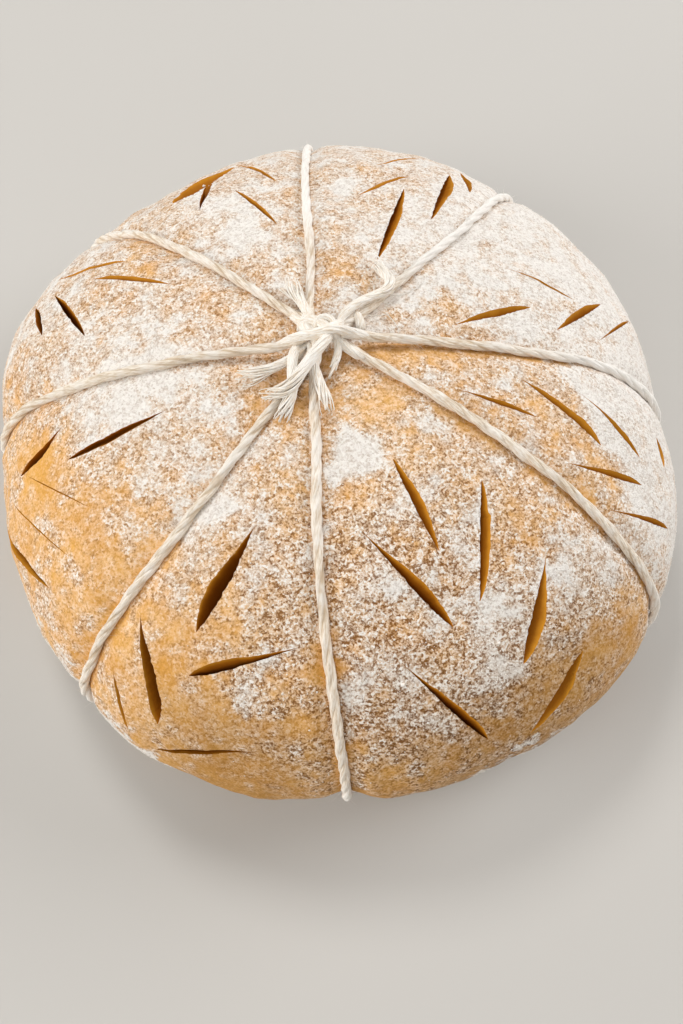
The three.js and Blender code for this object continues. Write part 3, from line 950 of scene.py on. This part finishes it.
def smooth(points, step):
    """Smooth path through a few points, at even steps, with the length run at each."""
    points = np.asarray(points, float)
    ends = np.concatenate([2 * points[:1] - points[1:2], points, 2 * points[-1:] - points[-2:-1]])
    share = np.linspace(0, 1, 9)[:-1, None]
    pieces = []
    for a, b, c, d in zip(ends, ends[1:], ends[2:], ends[3:]):
        curve = 2 * b + (c - a) * share + (2 * a - 5 * b + 4 * c - d) * share**2
        pieces.append((curve + (3 * b - a - 3 * c + d) * share**3) / 2)
    return resample(np.concatenate(pieces + [points[-1:]]), step)


def tube(path, radius, normal, sides):
    """Closed tube with each face corner's place along and around it. Radii are by point, or by side too."""
    first, second = carried_frame(path, normal)
    turn = 2 * np.pi * np.arange(sides) / sides
    offset = first[:, None] * np.cos(turn)[None, :, None] + second[:, None] * np.sin(turn)[None, :, None]
    points = (path[:, None] + offset * radius.reshape(len(path), -1, 1)).reshape(-1, 3)
    run = run_along(path)
    around = np.arange(sides) / sides
    near, far = grid_places(run[:-1], around), grid_places(run[1:], around)
    corners = halves(np.stack([near, near + (0, 1 / sides), far + (0, 1 / sides), far], axis=1))
    corners = np.concatenate([corners, np.zeros((2 * (sides - 2), 3, 2))])
    return points, sleeve(len(path), sides), corners.reshape(-1, 2)


def plain_tube(path, radius, normal, sides, out=1):
    """Closed tube that lies equally far out in the string all round."""
    points, faces, lay = tube(path, radius, normal, sides)
    return points, faces, lay, np.tile((out, 0), (faces.size, 1))


def rope(path, seed):
    """Plies twisted round each other, with how far out each face corner is from the path."""
    draw = np.random.default_rng(seed)
    path, run = resample(path, STRING_STEP)
    first, second = carried_frame(path, UP)
    turn = 2 * np.pi * run / PITCH + 0.8 * waver(run, draw, 12, 40)
    parts = []
    for ply in range(PLIES):
        angle = turn + 2 * np.pi * ply / PLIES
        swell = 1 + 0.07 * waver(run, draw, 3, 14)
        side = first * np.cos(angle)[:, None] + second * np.sin(angle)[:, None]
        ridges = np.stack([1 + 0.06 * waver(run, draw, 2, 9) for _ in range(PLY_SIDES)], axis=1)
        thick = PLY_RADIUS * STRING_RADIUS * swell[:, None] * ridges
        middle = path + side * (PLY_OFFSET * STRING_RADIUS * swell)[:, None]
        points, faces, lay = tube(middle, thick, side[0], PLY_SIDES)
        far = norm(points.reshape(-1, PLY_SIDES, 3) - path[:, None], axis=2).ravel() / STRING_RADIUS
        parts.append((points, faces, lay, np.stack([far[faces].ravel(), np.zeros(faces.size)], axis=1)))
    return parts


def fuzz(path, seed):
    """Stray fibres that stand off a string."""
    draw = np.random.default_rng(seed)
    path, _ = resample(path, 0.5)
    tangents = unit(np.gradient(path, axis=0))
    share = np.linspace(0, 1, 5)[:, None]
    parts = []
    for at in draw.integers(4, len(path) - 4, FIBRES):
        out = unit(np.cross(tangents[at], draw.normal(size=3)))
        along = tangents[at] * draw.choice([-1, 1])
        length = draw.uniform(1.2, 4)
        lift = draw.uniform(0.2, 0.7)
        bend = unit(draw.normal(size=3)) * draw.uniform(0, 0.5)
        fibre = along * share + (out * lift + bend) * share**2
        fibre = path[at] + out * STRING_RADIUS * 0.8 + length * fibre
        fibre[:, 2] = np.maximum(fibre[:, 2], 0.2)
        parts.append(plain_tube(fibre, FIBRE_RADIUS * (1.1 - share[:, 0]), out, 3))
    return parts


def twine(name, strands, material):
    """Piece made of strands, with the lay of their fibres and how far out in the string they lie, which
    paints shade in their hollows.
    """
    points, faces, lay, hollow = join_meshes(strands)
    return new_piece(name, points, faces, (material,), {"lay": lay, "hollow": hollow})


def arm_path(arm, layer):
    """Middle of the string from the knot over the rim to the crossing under the loaf."""
    bearing, _, hover, aside = ARMS[arm % COUNT]
    start = 2 / np.pi * math.asin(STRING_START / RADIUS)
    ways = np.concatenate([np.linspace(start, 2, 160), np.linspace(2, 3, 60)[1:]])
    distance = profile(ways)[0] * RADIUS
    lift = STRING_CLEAR + hover * bump(distance / HOVER_REACH) + RISE * bump(distance / RISE_REACH)
    path = dough_point(bearing, ways, lift + SIDE_SLACK * smoothstep(ways, 0.7, 1.3))
    left = np.array([-math.sin(math.radians(bearing)), math.cos(math.radians(bearing)), 0])
    path += left * (aside * bump(distance / ASIDE_REACH) * (ways < 1))[:, None]
    under = plain_point(bearing, ways)
    under[:, 2] = STRING_RADIUS + 0.3 + layer * LAYER * bump(distance / CROSSING_RADIUS)
    share = smoothstep(ways, 1.9, 2.05)[:, None]
    return mix(path, under, share)


for arm in range(COUNT // 2):
    path = np.concatenate([arm_path(arm, arm), arm_path(arm + COUNT // 2, arm)[::-1][1:]])
    strands = rope(path, 40 + arm) + fuzz(path, 50 + arm)
    string = twine(f"string_{arm + 1}_twine", strands, cotton)
    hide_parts(f"string_{arm + 1}")
    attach(string, "root")

# Knot


def crown_point(x, y, lift):
    """Place beside the crown, at a height above the dough there."""
    away = min(1, math.hypot(x, y) / RADIUS)
    level = WIDEST + (HEIGHT - WIDEST) * math.sqrt(1 - away**CROWN_POWER)
    return np.array([MIDDLE[0] + CROWN[0] + x, MIDDLE[1] + CROWN[1] + y, level + lift])


# Strands of the knot: thickness, how far the end spreads, how uneven its fibres end, and the path
# as places beside the crown and heights above the dough
KNOT_STRANDS = [
    # Wraps that make the knot
    (1.25, 0, 0, [
        (-6.2, 2.7, 1.2), (-5.4, 3.6, 3.2), (-3.2, 3.9, 4.4), (-0.6, 2.6, 5), (1.8, 0.7, 5),
        (3.6, -0.4, 3.8), (4.8, -1.2, 1.6),
    ]),
    (0.85, 0, 0, [
        (-1.6, 0.8, 3.2), (-1.6, 2.2, 4.8), (-0.4, 3.5, 5.7), (1.5, 3.6, 5.9), (2.8, 2.6, 5.4),
        (2.3, 1.3, 4.8), (0.7, 0.8, 4.2),
    ]),
    (1.35, 0, 0, [
        (-12.5, -1.9, 1.2), (-8.6, -1.2, 2.6), (-4.5, -0.9, 4.2), (-1.1, -0.7, 5), (1.5, 0.1, 5.5),
        (3.8, 2.2, 4.4), (5.6, 5.5, 2.2),
    ]),
    (1.25, 0, 0, [
        (14.5, 0.3, 1.3), (8.8, 0.4, 3.2), (5.9, 0.2, 4.8), (3.6, 0, 5.7), (1, -0.4, 5.6),
        (-1.1, -0.8, 4.4), (-3.2, -1.2, 2.4),
    ]),
    (1.6, 0, 0, [(-3, 9.5, 1.2), (-4, 6.4, 2), (-4.6, 3.2, 3), (-3.5, 0.8, 3.4), (-1, -1.5, 2.2)]),
    (1.25, 0, 0, [(-8.4, 7.4, 1.2), (-6.3, 5.8, 1.8), (-4.3, 3.7, 2.8), (-1.7, 1.3, 3.2), (1, -1, 2.4)]),
    (1.3, 0, 0, [(2, 1, 2), (3.8, -0.6, 2.4), (6, -2.6, 1.8), (11, -5.9, 1)]),
    (1.4, 0, 0, [(-2.5, 1, 1.5), (-1.5, -1.8, 2.2), (-1.6, -5, 1.7), (-1.8, -9, 1.2)]),
    # Loose tails
    (1.2, 2.2, 0.25, [(-3.3, 4.5, 2.6), (-4.7, 9.7, 2), (-7.3, 15, 1.4), (-10.1, 19.7, 1.3)]),
    (1.2, 0.9, 0.25, [
        (3, 1.6, 3.4), (4.6, 4.8, 3.2), (6.6, 8.1, 2.8), (10, 11.4, 2.3), (14.4, 14, 2.2),
        (17.3, 15.8, 2.3), (18.3, 18.6, 2.4), (17, 22, 2.2), (15, 25.4, 1.8), (13, 28.5, 1.3),
    ]),
    (1.15, 0.2, 0.15, [(8.8, 8.6, 1.2), (10, 5.6, 1.5), (10.3, 2.9, 1)]),
    (1.1, 1.3, 0.3, [
        (-3.5, -1.9, 2.2), (-2.9, -4.8, 2), (-2.1, -8.2, 2.2), (-1.1, -12.4, 2.2), (0.2, -16.7, 1.8),
        (2, -21.9, 1.2),
    ]),
    (0.95, 0.6, 0.6, [
        (3.3, -0.4, 3), (4.1, -3, 2.2), (3.8, -5.6, 1.5), (2.8, -8.8, 1), (1.7, -11.8, 0.8),
    ]),
    (1.45, 0.8, 0.15, [
        (2.8, 2, 3.6), (1.8, -1.1, 4.6), (-0.3, -4.6, 5), (-2.6, -8.2, 4.9), (-5.1, -11.9, 4.6),
        (-7.4, -15.2, 4), (-9.7, -16.6, 3), (-12.3, -17, 2), (-15.3, -17.9, 1.4),
    ]),
    (1.3, 0.8, 0.15, [
        (-5.1, -0.3, 1), (-6.9, -3.2, 1.8), (-7.6, -6.6, 2.6), (-7.6, -10.1, 2.5), (-7.5, -13.8, 2.3),
        (-8, -17.4, 1.8), (-9.2, -20.8, 1.5), (-10.9, -24.2, 1),
    ]),
    (1.15, 2.2, 0.25, [
        (-4, -1.5, 1.2), (-5.9, -3.7, 1.3), (-8.4, -6.3, 1.5), (-12, -8.5, 1.5), (-15.6, -10, 1.4),
        (-18.7, -11.2, 1.3), (-22.4, -11.6, 1),
    ]),
    # Single threads
    (0.22, 0, 0, [(16.5, 15, 2), (20.4, 14.9, 1.2), (24.4, 17.1, 0.6), (27.5, 20.5, 0.4)]),
    (0.16, 0, 0, [(17, 9.6, 0.3), (19.3, 5.9, 0.7), (20.6, 3.5, 0.3)]),
    (0.18, 0, 0, [(12, 8, 1), (15, 8.2, 0.8), (17.8, 9, 0.5)]),
]
YARN_RADIUS = 0.23
YARN_STEP = 0.7
YARN_CIRCLE = 0.88  # that the yarns lie on, as a share of the strand's radius
YARN_SPACING = 1.6  # in yarn radii
YARN_PITCH = 40
YARN_SIDES = 5
CORE_SIDES = 12


def bundle(number, strand):
    """Yarns side by side round a core along a path, which come apart where its end spreads."""
    radius, spread, ragged, places = strand
    draw = np.random.default_rng(70 + number)
    path, run = smooth([crown_point(*place) for place in places], YARN_STEP)
    share = run / run[-1]
    up, across = carried_frame(path, UP)
    if radius < 2 * YARN_RADIUS:
        return [plain_tube(path, radius * (1.1 - 0.5 * share), UP, YARN_SIDES)]
    loose = smoothstep(share, 0.45, 0.9) * min(1, spread)
    inside = np.minimum(share, 1 - share) if spread == 0 else share
    full = mix(0.45, 1, smoothstep(inside, 0, 0.22))
    ridges = np.stack([1 + 0.05 * waver(run, draw, 1.5, 7) for _ in range(CORE_SIDES)], axis=1)
    core = 0.98 * radius * (full * np.maximum(0.08, 1 - loose))[:, None] * ridges
    # The core lies a little in, so it takes a little painted shade of the hollows
    parts = [plain_tube(path, core, UP, CORE_SIDES, 0.93)]
    open_out = full * (1 + spread * smoothstep(share, 0.35, 1) ** 1.4)
    count = round(2 * np.pi * YARN_CIRCLE * radius / (YARN_SPACING * YARN_RADIUS))
    for yarn in range(count):
        near = YARN_CIRCLE * radius * mix(1, math.sqrt(draw.uniform(0, 1)), loose)
        angle = 2 * np.pi * yarn / count + 2 * np.pi * run / YARN_PITCH + draw.normal(0, 0.08)
        side = across * (np.sin(angle) * near * open_out)[:, None]
        rise = up * (np.cos(angle) * near * np.sqrt(full * open_out))[:, None]
        stray = 0.05 * radius * mix(1, 2.5, loose)
        wander = sum((stray * waver(run, draw, 1.5, 6))[:, None] * aside for aside in (across, up))
        line = path + side + rise + wander
        last = max(4, round(len(line) * (1 - ragged * draw.uniform(0, 1) ** 1.5)))
        line, left = line[:last], share[:last]
        floor_level = np.array([crown_point(*(p[:2] - MIDDLE - CROWN), 0)[2] for p in line])
        line[:, 2] = np.maximum(line[:, 2], floor_level - 0.1)
        thick = YARN_RADIUS * draw.uniform(0.8, 1.2) * (1 - 0.45 * smoothstep(left, 0.75, 1))
        points, faces, lay, out = plain_tube(line, thick, UP, YARN_SIDES)
        parts.append((points, faces, lay * (1, 0.12) + (0, 1.7 * yarn), out))
    return parts


strands = [yarn for number, strand in enumerate(KNOT_STRANDS) for yarn in bundle(number, strand)]
knot = twine("knot_twine", strands, lightened_knot_cotton)
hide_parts("knot")
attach(knot, "root")

# Floor, light and camera
FLOOR_HALF = 3000.0
corners = [(FLOOR_HALF * x, FLOOR_HALF * y, 0) for x, y in ((-1, -1), (1, -1), (1, 1), (-1, 1))]
floor = new_piece("floor", corners, [(0, 1, 2, 3)], (floor_material(),))

# Name, place, size, watts and colour of each light, in metres
LIGHTS = [
    ("window", (-0.35, 0.85, 1.15), 0.4, 7.2, (1, 0.99, 0.97)),
    ("left", (-1.2, -0.42, 0.52), 0.9, 9.3, (1, 0.985, 0.96)),
    ("front", (-0.35, -0.9, 1.1), 0.9, 4.4, (1, 0.97, 0.93)),
    ("right", (1.22, 0.55, 0.68), 0.9, 13, (1, 0.99, 0.99)),
]
LIGHT_AIM = Vector((0, 0, 0.03))
for name, place, size, watts, colour in LIGHTS:
    light = bpy.data.lights.new(name, "AREA")
    light.shape = "DISK"
    light.size = size
    light.energy = watts
    light.color = colour
    holder = bpy.data.objects.new(name, light)
    holder.location = place
    holder.rotation_euler = (LIGHT_AIM - Vector(place)).to_track_quat("-Z", "Y").to_euler()
    scene.collection.objects.link(holder)
world = bpy.data.worlds.new("room")
world.use_nodes = True
room = world.node_tree.nodes["Background"]
room.inputs["Color"].default_value = (1, 0.985, 0.96, 1)
room.inputs["Strength"].default_value = 0.35
scene.world = world
scene.view_settings.view_transform = "Standard"

# Camera: focal length in pixels of a picture of that height, tilt, distance, aim and roll
PICTURE_HEIGHT = 1024
SENSOR = 36.0
FOCAL = 780.0
TILT = math.radians(66.33)
DISTANCE = 266.5
AIM = Vector((2.75, -18.59, 0))
ROLL = math.radians(0.32)
camera_data = bpy.data.cameras.new("camera")
camera_data.sensor_width = SENSOR
camera_data.lens = SENSOR * FOCAL / PICTURE_HEIGHT
camera_data.clip_start = 0.01
camera = bpy.data.objects.new("camera", camera_data)
forward = Vector((0, math.cos(TILT), -math.sin(TILT)))
turn = Matrix.Rotation(math.pi / 2 - TILT, 4, "X") @ Matrix.Rotation(-ROLL, 4, "Z")
camera.matrix_world = Matrix.Translation((AIM - forward * DISTANCE) * MM) @ turn
scene.collection.objects.link(camera)
scene.camera = camera
